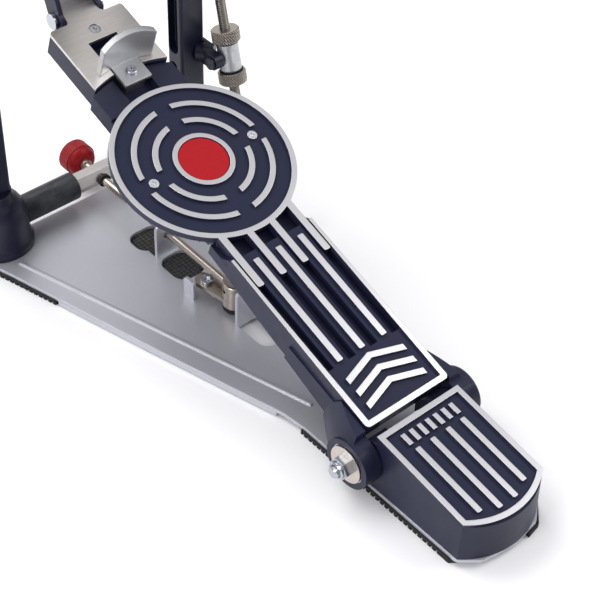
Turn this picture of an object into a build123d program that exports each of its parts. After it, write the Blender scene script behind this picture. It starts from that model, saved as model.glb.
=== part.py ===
from build123d import *
import math
import os

os.makedirs("parts", exist_ok=True)

# Bass drum pedal.  Millimetres.  +X is the drummer's right, +Y runs from the
# heel towards the drum, +Z is up.  The origin is on the floor, straight below
# the heel hinge.

# ---------------------------------------------------------------- dimensions
HINGE_Z = 25.9            # heel hinge axis above the floor
BOARD_Y, BOARD_Z = -2.24, 49.19   # heel edge of the footboard's top plane
BOARD_PITCH = 18.376      # footboard slope at rest, degrees
BOARD_HALF_HEEL = 32.9    # footboard half width at the heel
BOARD_HALF_TOE = 31.9     # footboard half width where the side rails end
DISC_S = 201.2            # disc centre along the footboard
DISC_R = 59.5
RIM_W = 3.6               # width of the polished rims
GROOVE = 1.8              # depth of the floors below the polished lines
STRIPE_W = 4.3
FINGER_W = 4.7
FINGER_END = 108.5
FINGERS = (-26.3, -8.7, 8.7, 26.3)
NOSE_ARC = 82.0           # radius of the gap around the disc at the toe
NOSE_HALF = 28.2
NOSE_SHOULDER = 330.0
TIP_HALF = 12.5
TIP_END = 351.5
TOE_PIN_S, TOE_PIN_N = 340.5, -5.5
COL_X, COL_Y = 82.0, 313.0        # column centres
COL_W, COL_D = 20.0, 16.2
COL_TOP = 212.0
FLANGE_R = 24.3
SHEET_LO, SHEET_HI = 4.0, 6.5     # base plate sheet
BAR_Z = 22.5              # cross bar axis height
SLEEVE_R = 9.75
AXLE_Y, AXLE_Z = 322.0, 230.0
CRANK_R = 36.0
CRANK_ANGLE = 25.0        # crank above horizontal at rest
BEATER_LEAN = 43.0        # beater rod leaning back at rest
ROD_OFFSET = 17.0         # beater rod axis ahead of the axle
SPRING_X = 101.0
SWIVEL_Y, SWIVEL_Z = 289.0, 92.6
SPRING_CRANK_R = 24.0
ROD_X = 1.0               # clamp pull rod

cb, sb = math.cos(math.radians(BOARD_PITCH)), math.sin(math.radians(BOARD_PITCH))
BOARD = Plane(origin=(0, BOARD_Y, BOARD_Z), x_dir=(1, 0, 0), z_dir=(0, -sb, cb))
HALF_SLOPE = (BOARD_HALF_HEEL - BOARD_HALF_TOE) / 132.0


def board_yz(s, n):
    """World y and z of a point s along the board and n above its top plane."""
    return BOARD_Y + s * cb - n * sb, BOARD_Z + s * sb + n * cb


PIN_Y, PIN_Z = board_yz(TOE_PIN_S, TOE_PIN_N)
CRANK_Y = AXLE_Y + CRANK_R * math.cos(math.radians(CRANK_ANGLE))
CRANK_Z = AXLE_Z + CRANK_R * math.sin(math.radians(CRANK_ANGLE))

# spring line from the swivel to the axle
_dy, _dz = AXLE_Y - SWIVEL_Y, AXLE_Z - SWIVEL_Z
SPRING_LINE = math.hypot(_dy, _dz)
SPRING = Plane(origin=(SPRING_X, SWIVEL_Y, SWIVEL_Z), x_dir=(1, 0, 0),
               z_dir=(0, _dy / SPRING_LINE, _dz / SPRING_LINE))
SPIN_Y = AXLE_Y - SPRING_CRANK_R * _dy / SPRING_LINE
SPIN_Z = AXLE_Z - SPRING_CRANK_R * _dz / SPRING_LINE
SPRING_PIN_D = SPRING_LINE - SPRING_CRANK_R

# beater frame: z along the rod, y forward of it
_l = math.radians(BEATER_LEAN)
BEATER = Plane(origin=(0, AXLE_Y + ROD_OFFSET * math.cos(_l), AXLE_Z + ROD_OFFSET * math.sin(_l)),
               x_dir=(1, 0, 0), z_dir=(0, -math.sin(_l), math.cos(_l)))


def at_x(x):
    """Plane across the pedal at x, its axes along world +Y and +Z."""
    return Plane(origin=(x, 0, 0), x_dir=(0, 1, 0), z_dir=(1, 0, 0))


def save(builder, name):
    builder.part.label = name
    export_step(builder.part, "parts/" + name + ".step")


# ---------------------------------------------------------------- base plate
def base_outline(extra=0.0):
    """Half outline of the base sheet, left side, heel to front."""
    e = extra
    return [(0, -93.5 - e), (-22, -90.5 - e), (-34 - e, -80.5), (-34 - e, 50),
            (-36.2 - e, 67), (-66.5 - e, 173.8), (-94.7 - e, 278.5), (-104 - e, 309), (-82, 313), (0, 313 + e)]


BEAD_HEEL, BEAD_FRONT = (-18.4, 62.2), (-83.9, 283.8)
BEAD_MID = ((BEAD_HEEL[0] + BEAD_FRONT[0]) / 2, (BEAD_HEEL[1] + BEAD_FRONT[1]) / 2)
BEAD_LENGTH = math.dist(BEAD_HEEL, BEAD_FRONT)
BEAD_ANGLE = math.degrees(math.atan2(BEAD_FRONT[1] - BEAD_HEEL[1], BEAD_FRONT[0] - BEAD_HEEL[0]))
with BuildPart() as base_plate:
    with BuildSketch(Plane.XY.offset(SHEET_LO)):
        with BuildLine():
            Polyline(*base_outline(), (0, -93.5))
        make_face()
        with Locations((-COL_X, COL_Y)):
            Circle(FLANGE_R + 1.2)
        mirror(about=Plane.YZ)
        fillet([v for v in vertices() if abs(v.Y + 80.5) < 0.1 or abs(v.Y - 50) < 0.1 or abs(v.Y + 90.5) < 0.1], radius=6)
    extrude(amount=SHEET_HI - SHEET_LO)
    # folded-down lip along each diagonal edge
    with BuildSketch(Plane.XY.offset(0.8)):
        with BuildLine():
            Polyline((-37.6, 72), (-66.5, 173.8), (-84.3, 239), (-81.9, 239.6), (-64.1, 174.5), (-35.2, 72.7), (-37.6, 72))
        make_face()
        mirror(about=Plane.YZ)
    extrude(amount=SHEET_LO - 0.8 + 0.5)
    # embossed bead beside each diagonal edge: a wide low band under a narrower crown
    for width, height in ((3.2, 0.6), (1.9, 1.1)):
        with BuildSketch(Plane.XY.offset(SHEET_HI)):
            with Locations(BEAD_MID):
                SlotCenterToCenter(BEAD_LENGTH, width, rotation=BEAD_ANGLE)
            mirror(about=Plane.YZ)
        extrude(amount=height)
    # openings the two tabs were bent out of, and a rear oval
    with BuildSketch(Plane.XY.offset(SHEET_LO - 1)):
        with Locations((0, 131.5)):
            RectangleRounded(18, 31, 8.5)
        with Locations((0, 140)):
            Rectangle(18, 9)
        with Locations((0, 214)):
            SlotCenterToCenter(9, 19, rotation=90)
        with Locations((0, 214)):
            RectangleRounded(24, 28, 9)
        with Locations((-1, 250)):
            RectangleRounded(26, 22, 9)
        with Locations((0, 236)):
            Rectangle(19, 8)
    extrude(amount=6, mode=Mode.SUBTRACT)
    # front tab, which guides the pull rod, and rear tab behind the lever
    with BuildSketch(Plane.XZ.offset(-232.5)):
        with Locations((0, 18.2)):
            RectangleRounded(19, 27.6, 2.2)
        with Locations((0, 6.2)):
            Rectangle(19, 4.4)
        with Locations((ROD_X, BAR_Z)):
            Circle(4.6, mode=Mode.SUBTRACT)
    extrude(amount=2.5)
    with BuildSketch(Plane.XZ.offset(-147.5)):
        with Locations((0, 18.8)):
            RectangleRounded(18, 28.8, 2.2)
        with Locations((0, 6.2)):
            Rectangle(18, 4.4)
    extrude(amount=2.5)
    # small stop tab beside the lever
    with BuildSketch(at_x(-16.4)):
        with Locations((186.8, 12.6)):
            RectangleRounded(10.5, 17, 3.2)
        with Locations((186.8, 6)):
            Rectangle(10.5, 4)
    extrude(amount=2.2)
save(base_plate, "base_plate")

# ribbed rubber under the heel
with BuildPart() as heel_grip_pad:
    with BuildSketch():
        with BuildLine():
            Polyline((-35, 52), (-35, -76), (-24, -84), (-18, -72), (14, -72), (14, -93), (24, -91), (35, -80), (35, 52), (-35, 52))
        make_face()
    extrude(amount=SHEET_LO)
    with BuildSketch():
        with GridLocations(54, 4.0, 2, 34):
            Rectangle(26, 1.7)
    extrude(amount=2.4, mode=Mode.SUBTRACT)
save(heel_grip_pad, "heel_grip_pad")


def front_pad(side):
    with BuildPart() as pad:
        with BuildSketch():
            with BuildLine():
                Polyline((side * 85.4, 241), (side * 95.8, 278.5), (side * 106, 312), (side * 60, 312),
                         (side * 60, 300), (side * 72, 241), (side * 85.4, 241))
            make_face()
            with Locations((side * COL_X, COL_Y)):
                Circle(FLANGE_R + 2.2)
        extrude(amount=SHEET_LO)
        with BuildSketch():
            with Locations((side * 90, 290)):
                with GridLocations(8, 4.0, 1, 24):
                    Rectangle(48, 1.7)
        extrude(amount=2.4, mode=Mode.SUBTRACT)
    return pad


front_grip_pad_left = front_pad(-1)
save(front_grip_pad_left, "front_grip_pad_left")
front_grip_pad_right = front_pad(1)
save(front_grip_pad_right, "front_grip_pad_right")

# textured rubber mat under the middle of the base
with BuildPart() as center_grip_mat:
    with BuildSketch():
        with Locations((0, 232)):
            RectangleRounded(74, 84, 6)
    extrude(amount=SHEET_LO - 0.3)
save(center_grip_mat, "center_grip_mat")

# ---------------------------------------------------------------- heel block
_hd = (-71.2, -12.1)
_hl = math.hypot(*_hd)
_hy, _hz = _hd[0] / _hl, _hd[1] / _hl
# local y runs from the front edge of the heel plate to its rear
HEEL = Plane(origin=(0, -9.7, 48.4), x_dir=(-1, 0, 0), z_dir=(0, _hz, -_hy))


def heel_outline(inset):
    """Edge loop of the heel plate, straight sides and a bowed rear."""
    h = 32.5 - inset
    Line((-h, inset), (-h, 72 - inset * 0.4))
    ThreePointArc((-h, 72 - inset * 0.4), (0, 83.2 - inset), (h, 72 - inset * 0.4))
    Line((h, 72 - inset * 0.4), (h, inset))
    Line((h, inset), (-h, inset))


with BuildPart() as heel_casting:
    # the block: plan outline, cut off by the sloping top plane
    with BuildSketch(Plane.XY.offset(SHEET_HI)):
        with BuildLine():
            Line((-33.4, -9.7), (-33.4, -80.5))
            ThreePointArc((-33.4, -80.5), (0, -93.6), (33.4, -80.5))
            Line((33.4, -80.5), (33.4, -9.7))
            Line((33.4, -9.7), (-33.4, -9.7))
        make_face()
    extrude(amount=48, taper=1.6)
    with BuildSketch(HEEL.offset(-GROOVE)):
        Rectangle(140, 400)
    extrude(amount=60, mode=Mode.SUBTRACT)
    # hollow underside, open to the front
    with BuildSketch(Plane.XY.offset(SHEET_HI)):
        with Locations((0, -45)):
            RectangleRounded(57, 68, 8)
    extrude(amount=24, mode=Mode.SUBTRACT)
    # two lugs that carry the hinge shaft
    with BuildSketch(at_x(18)):
        with BuildLine():
            Polyline((-9.9, SHEET_HI), (9, SHEET_HI), (9, 30), (-2, 39.5), (-9.9, 41), (-9.9, SHEET_HI))
        make_face()
    lug = extrude(amount=14)
    mirror(lug, about=Plane.YZ)
    with BuildSketch(at_x(-40)):
        with Locations((0, HINGE_Z)):
            Circle(4.0)
    extrude(amount=80, mode=Mode.SUBTRACT)
    # raised polished rim and four bars
    with BuildSketch(HEEL.offset(-GROOVE)):
        with BuildLine():
            heel_outline(0)
        make_face()
        with BuildLine():
            heel_outline(RIM_W)
        make_face(mode=Mode.SUBTRACT)
        with Locations((-18.0, 45), (18.0, 45)):
            RectangleRounded(3.7, 52.4, 0.8)
        with Locations((-6.2, 47.4), (6.2, 47.4)):
            RectangleRounded(3.7, 57.2, 0.8)
        # generic row of upright bars across the front of the plate
        with GridLocations(6.4, 1, 7, 1):
            with Locations((0, 11.3)):
                Rectangle(3.2, 8.2)
    extrude(amount=GROOVE)
save(heel_casting, "heel_casting")

with BuildPart() as hinge_shaft:
    with BuildSketch(at_x(-57)):
        with Locations((0, HINGE_Z)):
            Circle(3.98)
    extrude(amount=114)
    chamfer(edges().filter_by(GeomType.CIRCLE), length=0.8)
save(hinge_shaft, "hinge_shaft")

with BuildPart() as hinge_washers:
    with BuildSketch(at_x(45.3)):
        with Locations((0, HINGE_Z)):
            Circle(12.4)
            Circle(4.2, mode=Mode.SUBTRACT)
    extrude(amount=1.6)
    mirror(about=Plane.YZ)
save(hinge_washers, "hinge_washers")

with BuildPart() as hinge_nuts:
    with BuildSketch(at_x(46.9)):
        with Locations((0, HINGE_Z)):
            RegularPolygon(7.5, 6)
            Circle(4.0, mode=Mode.SUBTRACT)
    nut = extrude(amount=5.4)
    with BuildSketch(at_x(52.3)):
        with Locations((0, HINGE_Z)):
            Circle(5.9)
            Circle(4.0, mode=Mode.SUBTRACT)
    extrude(amount=2.4)
    chamfer(faces().sort_by(Axis.X)[-1].edges(), length=0.7)
    mirror(about=Plane.YZ)
save(hinge_nuts, "hinge_nuts")

# ---------------------------------------------------------------- columns
def make_shroud(side):
    with BuildPart() as shroud:
        with BuildSketch(Plane(origin=(side * COL_X, COL_Y, 0), x_dir=(1, 0, 0), z_dir=(0, -1, 0))):
            with BuildLine():
                l1 = Polyline((0, SHEET_HI), (FLANGE_R, SHEET_HI), (FLANGE_R, 10.5), (22.6, 13.0))
                l2 = Spline((22.6, 13.0), (21.8, 24), (21.0, 33), (18.6, 39.5), (13.8, 44.0))
                l3 = Line((13.8, 44.0), (12.6, 50.5))
                l4 = Polyline((12.6, 50.5), (0, 50.5), (0, SHEET_HI))
            make_face()
        revolve(axis=Axis((side * COL_X, COL_Y, 0), (0, 0, 1)))
        # socket for the column
        with BuildSketch(Plane.XY.offset(9)):
            with Locations((side * COL_X, COL_Y)):
                RectangleRounded(COL_W + 0.4, COL_D + 0.4, 2.6)
        extrude(amount=60, mode=Mode.SUBTRACT)
        # pocket for the cross bar and its sleeve, on the inner side
        with BuildSketch(at_x(side * 56)):
            with Locations((COL_Y, BAR_Z)):
                Circle(10.4)
        extrude(amount=side * 6.5, mode=Mode.SUBTRACT)
        with BuildSketch(at_x(side * 50)):
            with Locations((COL_Y, BAR_Z)):
                Circle(7.6)
        extrude(amount=side * 21.5, mode=Mode.SUBTRACT)
    return shroud


column_shroud_left = make_shroud(-1)
save(column_shroud_left, "column_shroud_left")
column_shroud_right = make_shroud(1)
save(column_shroud_right, "column_shroud_right")


def make_column(side):
    with BuildPart() as col:
        with BuildSketch(Plane.XY.offset(9.2)):
            with Locations((side * COL_X, COL_Y)):
                RectangleRounded(COL_W, COL_D, 2.2)
        extrude(amount=COL_TOP - 9.2)
        # long channel in the inner face, rounded at both ends
        with BuildSketch(at_x(side * (COL_X - COL_W / 2))):
            with Locations((COL_Y + 1.2, 152)):
                SlotOverall(118, 11.0, rotation=90)
        extrude(amount=side * 6.2, mode=Mode.SUBTRACT)
        # cross hole below the channel
        with BuildSketch(at_x(side * (COL_X - COL_W / 2))):
            with Locations((COL_Y + 1.2, 82)):
                Circle(4.0)
        extrude(amount=side * COL_W, mode=Mode.SUBTRACT)
    return col


column_left = make_column(-1)
save(column_left, "column_left")
column_right = make_column(1)
save(column_right, "column_right")

with BuildPart() as cross_bar:
    with BuildSketch(at_x(-71)):
        with Locations((COL_Y, BAR_Z)):
            RegularPolygon(7.5, 6, rotation=0)
    extrude(amount=142)
    with BuildSketch(Plane.XZ.offset(-(COL_Y + 10))):
        with Locations((ROD_X, BAR_Z)):
            Circle(3.4)
    extrude(amount=20, mode=Mode.SUBTRACT)
save(cross_bar, "cross_bar")

with BuildPart() as bar_sleeves:
    with BuildSketch(at_x(18.6)):
        with Locations((COL_Y, BAR_Z)):
            Circle(SLEEVE_R)
            Circle(7.6, mode=Mode.SUBTRACT)
    extrude(amount=43.6)
    fillet(faces().sort_by(Axis.X)[0].edges().sort_by(SortBy.LENGTH)[-1:], radius=1.0)
    mirror(about=Plane.YZ)
save(bar_sleeves, "bar_sleeves")

with BuildPart() as rod_grommet:
    with BuildSketch(Plane.XZ.offset(-305.4)):
        with Locations((ROD_X, BAR_Z)):
            Circle(4.7)
            Circle(3.45, mode=Mode.SUBTRACT)
    extrude(amount=2.2)
save(rod_grommet, "rod_grommet")


def make_block(side):
    with BuildPart() as block:
        with BuildSketch(at_x(side * 72)):
            with BuildLine():
                Polyline((COL_Y - 8.1, COL_TOP), (COL_Y + 9.5, COL_TOP), (AXLE_Y + 16, AXLE_Z - 8), (AXLE_Y + 14, AXLE_Z + 8),
                         (AXLE_Y - 14, AXLE_Z + 8), (COL_Y - 8.1, COL_TOP + 12), (COL_Y - 8.1, COL_TOP))
            make_face()
            with Locations((AXLE_Y, AXLE_Z)):
                Circle(18)
                Circle(12.02, mode=Mode.SUBTRACT)
        extrude(amount=side * 20)
    return block


bearing_block_left = make_block(-1)
save(bearing_block_left, "bearing_block_left")
bearing_block_right = make_block(1)
save(bearing_block_right, "bearing_block_right")

with BuildPart() as axle_bearings:
    with BuildSketch(at_x(78)):
        with Locations((AXLE_Y, AXLE_Z)):
            Circle(12.0)
            Circle(6.03, mode=Mode.SUBTRACT)
    extrude(amount=8)
    # shallow shield recess on both faces
    with BuildSketch(at_x(85.4)):
        with Locations((AXLE_Y, AXLE_Z)):
            Circle(10.4)
            Circle(8.0, mode=Mode.SUBTRACT)
    extrude(amount=1, mode=Mode.SUBTRACT)
    mirror(about=Plane.YZ)
save(axle_bearings, "axle_bearings")

# bracket on the right column that carries the spring swivel
with BuildPart() as spring_arm:
    # slim lug with the eye of the swivel pin
    with BuildSketch(at_x(85.6)):
        with BuildLine():
            Polyline((SWIVEL_Y, SWIVEL_Z + 5.6), (304.7, 98.6), (304.7, 86.6), (SWIVEL_Y, SWIVEL_Z - 5.6), (SWIVEL_Y, SWIVEL_Z + 5.6))
        make_face()
        with Locations((SWIVEL_Y, SWIVEL_Z)):
            Circle(5.6)
            Circle(3.05, mode=Mode.SUBTRACT)
    extrude(amount=6.6)
    # round boss running back from the column beside it
    with BuildSketch(Plane(origin=(SPRING_X - 0.6202 * 10.6, SWIVEL_Y + 0.7845 * 10.6, SWIVEL_Z), x_dir=(0, 0, 1), z_dir=(-0.6202, 0.7845, 0))):
        Circle(6.9)
    extrude(amount=12.0)
    with BuildSketch(at_x(COL_X + COL_W / 2)):
        with BuildLine():
            Polyline((300, 99.5), (319, 99.5), (319, 84.5), (300, 84.5), (300, 99.5))
        make_face()
    extrude(amount=2.6)
    with BuildSketch(at_x(88)):
        with Locations((302.4, 92)):
            Rectangle(4.4, 14)
    extrude(amount=4)
    # the column's own outline, with a hair of clearance
    with BuildSketch(Plane.XY.offset(60)):
        with Locations((COL_X, COL_Y)):
            Rectangle(COL_W, COL_D)
    extrude(amount=70, mode=Mode.SUBTRACT)
save(spring_arm, "spring_arm")

# ---------------------------------------------------------------- clamp lever
LEVER_PIVOT = (23.0, 170.0)
BARREL = (1.0, 159.5)
with BuildPart() as lever_pivot_bolt:
    with BuildSketch(Plane.XY.offset(SHEET_HI)):
        with Locations(LEVER_PIVOT):
            Circle(3.95)
    extrude(amount=8.0)
    with BuildSketch(Plane.XY.offset(SHEET_HI + 8.0)):
        with Locations(LEVER_PIVOT):
            RegularPolygon(7.2, 6)
    extrude(amount=4.6)
save(lever_pivot_bolt, "lever_pivot_bolt")

with BuildPart() as clamp_lever:
    with BuildSketch(Plane.XY.offset(11.0)):
        with BuildLine():
            Polyline((-7.5, 190), (4, 191), (14, 179), (24, 179), (62, 190), (66, 181), (24, 161), (10, 156), (-7.5, 172), (-7.5, 190))
        make_face()
        fillet(vertices(), radius=3.2)
        with Locations(LEVER_PIVOT):
            Circle(4.05, mode=Mode.SUBTRACT)
        with Locations(BARREL):
            Circle(8.8, mode=Mode.SUBTRACT)
    extrude(amount=3.0)
save(clamp_lever, "clamp_lever")

with BuildPart() as lever_grip:
    with BuildSketch(Plane.XY.offset(8.0)):
        with Locations(Location((66.5, 188.2), 20)):
            SlotOverall(26, 12.5)
    extrude(amount=9.2)
    fillet(faces().sort_by(Axis.Z)[-1].edges(), radius=2.2)
    with BuildSketch(Plane.XY.offset(10.99)):
        with BuildLine():
            Polyline((50, 190), (62.05, 190.05), (66.05, 180.95), (50, 174), (50, 190))
        make_face()
    extrude(amount=3.02, mode=Mode.SUBTRACT)
save(lever_grip, "lever_grip")

# steel bracket whose rolled end holds the pull rod
with BuildPart() as lever_bracket:
    with BuildSketch(Plane.XY.offset(14.0)):
        with BuildLine():
            Polyline((-11.5, 186), (-8, 190.8), (-1, 190.8), (9.2, 160), (-6.5, 156), (-11.5, 186))
        make_face()
        fillet(vertices(), radius=2.4)
    extrude(amount=3.0)
    with BuildSketch(Plane.XY.offset(11.2)):
        with Locations(BARREL):
            Circle(8.6)
    extrude(amount=18.8)
    fillet(faces().sort_by(Axis.Z)[-1].edges(), radius=1.6)
    with BuildSketch(Plane.XY.offset(10)):
        with Locations(BARREL):
            Circle(6.2)
    extrude(amount=17.2, mode=Mode.SUBTRACT)
    # eye the rod runs through, and the small side hole
    with BuildSketch(Plane.XZ.offset(-(BARREL[1] + 2))):
        with Locations((ROD_X, BAR_Z)):
            Circle(5.4)
    extrude(amount=-12, mode=Mode.SUBTRACT)
    with BuildSketch(at_x(BARREL[0] - 12)):
        with Locations((BARREL[1] + 1, 24.5)):
            Circle(1.5)
    extrude(amount=10, mode=Mode.SUBTRACT)
save(lever_bracket, "lever_bracket")

with BuildPart() as lever_screw:
    with BuildSketch(Plane.XY.offset(17.0)):
        with Locations((-4.6, 182.0)):
            Circle(4.6)
            RegularPolygon(2.4, 6, mode=Mode.SUBTRACT)
    extrude(amount=2.2)
    with BuildSketch(Plane.XY.offset(17.0)):
        with Locations((-4.6, 182.0)):
            Circle(4.6)
    extrude(amount=0.8)
save(lever_screw, "lever_screw")

with BuildPart() as lever_foot:
    with BuildSketch(Plane.XY.offset(SHEET_HI + 0.15)):
        with Locations(BARREL):
            Circle(8.4)
    extrude(amount=4.3)
    fillet(faces().sort_by(Axis.Z)[0].edges(), radius=1.2)
save(lever_foot, "lever_foot")

# pull rod from the lever's barrel through the cross bar
with BuildPart() as pull_rod:
    with BuildSketch(Plane.XZ.offset(-158.4)):
        with Locations((ROD_X, BAR_Z)):
            Circle(3.0)
    extrude(amount=-(340.1 - 158.4))
    with BuildSketch(Plane.XZ.offset(-157.4)):
        with Locations((ROD_X, BAR_Z)):
            Circle(3.6)
    extrude(amount=-4.6)
    # collar against the adjuster wheel
    with BuildSketch(Plane.XZ.offset(-324.8)):
        with Locations((ROD_X, BAR_Z)):
            Circle(4.3)
    extrude(amount=-2.6)
save(pull_rod, "pull_rod")

with BuildPart() as clamp_knob:
    with BuildSketch(at_x(ROD_X)):
        with BuildLine():
            Polyline((327.5, BAR_Z + 3.05), (327.5, BAR_Z + 6.0))
            ThreePointArc((327.5, BAR_Z + 6.0), (329.2, BAR_Z + 9.6), (332.5, BAR_Z + 11.2))
            Polyline((332.5, BAR_Z + 11.2), (332.9, BAR_Z + 11.9), (342.2, BAR_Z + 11.9), (343.8, BAR_Z + 10.4),
                     (343.8, BAR_Z), (340.2, BAR_Z), (340.2, BAR_Z + 3.05), (327.5, BAR_Z + 3.05))
        make_face()
    revolve(axis=Axis((ROD_X, 0, BAR_Z), (0, 1, 0)))
    # knurl flutes
    with BuildSketch(Plane.XZ.offset(-333.2)):
        with Locations((ROD_X, BAR_Z)):
            with PolarLocations(12.25, 40):
                Circle(0.62)
    extrude(amount=-12, mode=Mode.SUBTRACT)
save(clamp_knob, "clamp_knob")

# ---------------------------------------------------------------- footboard
def half_at(s):
    return BOARD_HALF_HEEL - HALF_SLOPE * s


# flare between hinge hub and side wall: a cone about the hinge axis, kept
# below the board's top and above a line rising to the wall's lower edge
with BuildPart() as hub_flare:
    with BuildSketch(at_x(43.6)):
        with Locations((0, HINGE_Z)):
            Circle(17.0)
    extrude(amount=-(43.6 - 33.75), taper=-61)
    with BuildSketch(at_x(33.0)):
        with BuildLine():
            f1 = board_yz(78, -21.3)
            f2 = (13.6, HINGE_Z - 10.2)
            Polyline(f2, (0, HINGE_Z), (-2.2, HINGE_Z + 16.6), board_yz(0.0, -1.9), board_yz(78, -1.9), f1)
            ThreePointArc(f1, (40.5, 35.0), f2)
        make_face()
        with Locations((0, HINGE_Z)):
            Circle(17.0)
    extrude(amount=12, mode=Mode.INTERSECT)

# the right hub stands out further than the left and is rounded over
with BuildPart() as hub_cap:
    with BuildSketch(at_x(45.0)):
        with Locations((0, HINGE_Z)):
            Circle(17.0)
    extrude(amount=4.4)
    fillet(faces().sort_by(Axis.X)[-1].edges(), radius=2.4)

with BuildPart() as footboard:
    # top deck of the heel half
    with BuildSketch(BOARD.offset(-10)):
        with BuildLine():
            Polyline((-half_at(0), 0), (half_at(0), 0), (half_at(132), 132), (-half_at(132), 132), (-half_at(0), 0))
        make_face()
        fillet([v for v in vertices() if abs(v.Y) < 1], radius=3.0)
    extrude(amount=10 - GROOVE)
    # middle beam under the fingers and the disc
    with BuildSketch(BOARD.offset(-18)):
        with Locations((0, 139.6)):
            Rectangle(54, 21.2)
    extrude(amount=18 - 8.4)
    with BuildSketch(BOARD.offset(-18)):
        with BuildLine():
            Polyline((-27, 149), (27, 149), (27, 290), (-27, 290), (-27, 149))
        make_face()
    extrude(amount=18 - 11.2)
    # toe end: wide part, shoulders and narrow tip
    with BuildSketch(BOARD.offset(-17.5)):
        with BuildLine():
            Polyline((-NOSE_HALF, 262), (NOSE_HALF, 262), (NOSE_HALF, NOSE_SHOULDER - 1.5), (NOSE_HALF - 1.5, NOSE_SHOULDER),
                     (TIP_HALF, NOSE_SHOULDER), (TIP_HALF, TIP_END), (-TIP_HALF, TIP_END), (-TIP_HALF, NOSE_SHOULDER),
                     (-NOSE_HALF + 1.5, NOSE_SHOULDER), (-NOSE_HALF, NOSE_SHOULDER - 1.5), (-NOSE_HALF, 262))
        make_face()
        with Locations((0, DISC_S)):
            Circle(NOSE_ARC, mode=Mode.SUBTRACT)
    extrude(amount=17.5 - 2.2)
    # T-slot floor that the toe stop slides in
    with BuildSketch(BOARD.offset(-11.2)):
        with Locations((0, 288)):
            Rectangle(22, 46)
    extrude(amount=12, mode=Mode.SUBTRACT)
    with BuildSketch(BOARD.offset(-1)):
        with Locations((0, 319.4)):
            Circle(2.1)
    extrude(amount=-12, mode=Mode.SUBTRACT)
    # side walls, their lower edge rising towards the toe
    with BuildSketch(BOARD.offset(-28.5)):
        with BuildLine():
            Polyline((-half_at(14), 14), (-half_at(132), 132), (-half_at(150.5), 150.5), (-half_at(150.5) + 3, 150.5), (-half_at(14) + 3, 14), (-half_at(14), 14))
        make_face()
        mirror(about=Plane.YZ)
    extrude(amount=28.5 - 7.6)
    with BuildSketch(at_x(-45)):
        with BuildLine():
            w1 = board_yz(78, -21.3)
            w2 = board_yz(20, -31)
            Polyline(w2, board_yz(20, -44), board_yz(156, -44), board_yz(156, -15.0), board_yz(126.7, -17.0), board_yz(105, -19.2), w1)
            ThreePointArc(w1, board_yz(44, -24.2), w2)
        make_face()
    extrude(amount=90, mode=Mode.SUBTRACT)
    # wedges that carry the walls up to the deck at the toe side
    with BuildSketch(at_x(-31.8)):
        with BuildLine():
            Polyline(board_yz(128, -9.9), board_yz(128, -1.9), board_yz(132.6, -1.9), board_yz(140, -7.7), board_yz(140, -9.9), board_yz(128, -9.9))
        make_face()
    wedge = extrude(amount=3.0)
    mirror(wedge, about=Plane.YZ)
    # hinge hubs flaring into the side walls
    add(hub_flare.part)
    mirror(hub_flare.part, about=Plane.YZ)
    with BuildSketch(at_x(38.8)):
        with Locations((0, HINGE_Z)):
            Circle(17.0)
    hub = extrude(amount=7.2)
    mirror(hub, about=Plane.YZ)
    add(hub_cap.part)
    # inner cheek skin tying the hubs to the deck
    with BuildSketch(at_x(29.4)):
        with BuildLine():
            Polyline(board_yz(16, -9.5), board_yz(70, -9.5), board_yz(70, -21.4), board_yz(28, -25.6), board_yz(16, -9.5))
        make_face()
    skin = extrude(amount=4.4)
    mirror(skin, about=Plane.YZ)
    # bearing bores
    with BuildSketch(at_x(-50)):
        with Locations((0, HINGE_Z)):
            Circle(13.3)
    extrude(amount=13.6, mode=Mode.SUBTRACT)
    with BuildSketch(at_x(50)):
        with Locations((0, HINGE_Z)):
            Circle(13.3)
    extrude(amount=-13.6, mode=Mode.SUBTRACT)
    with BuildSketch(at_x(-60)):
        with Locations((0, HINGE_Z)):
            Circle(9.0)
    extrude(amount=120, mode=Mode.SUBTRACT)
    # deep finger grooves
    with BuildSketch(BOARD.offset(-8.4)):
        for gx in FINGERS:
            with Locations((gx, 88)):
                Rectangle(6.1, 92)
    extrude(amount=10, mode=Mode.SUBTRACT)
    # polished lines: heel rim, side lines, stripes
    with BuildSketch(BOARD.offset(-GROOVE)):
        with BuildLine():
            Polyline((-half_at(0), 0), (half_at(0), 0), (half_at(132), 132), (-half_at(132), 132), (-half_at(0), 0))
        make_face()
        fillet([v for v in vertices() if abs(v.Y) < 1], radius=3.0)
        with BuildLine():
            Polyline((-29.0, 3.8), (29.0, 3.8), (half_at(132) - 2.1, 133), (-half_at(132) + 2.1, 133), (-29.0, 3.8))
        make_face(mode=Mode.SUBTRACT)
        with Locations((-17.5, 84.6), (0, 84.6), (17.5, 84.6)):
            RectangleRounded(STRIPE_W, 82.6, 0.8)
        # generic chevrons in the heel panel
        for cs in (9.0, 18.5, 28.0):
            with BuildLine():
                Polyline((-23, cs), (0, cs + 7), (23, cs), (23, cs + 4.2), (0, cs + 11.2), (-23, cs + 4.2), (-23, cs))
            make_face()
    extrude(amount=GROOVE)
    # toe hinge pin bore
    with BuildSketch(at_x(-40)):
        with Locations((PIN_Y, PIN_Z)):
            Circle(3.0)
    extrude(amount=80, mode=Mode.SUBTRACT)
save(footboard, "footboard")

with BuildPart() as hinge_bearings:
    with BuildSketch(at_x(37.4)):
        with Locations((0, HINGE_Z)):
            Circle(13.25)
            Circle(4.03, mode=Mode.SUBTRACT)
    extrude(amount=7.6)
    with BuildSketch(at_x(44.2)):
        with Locations((0, HINGE_Z)):
            Circle(12.0)
            Circle(7.0, mode=Mode.SUBTRACT)
    extrude(amount=1.0, mode=Mode.SUBTRACT)
    mirror(about=Plane.YZ)
save(hinge_bearings, "hinge_bearings")

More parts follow.
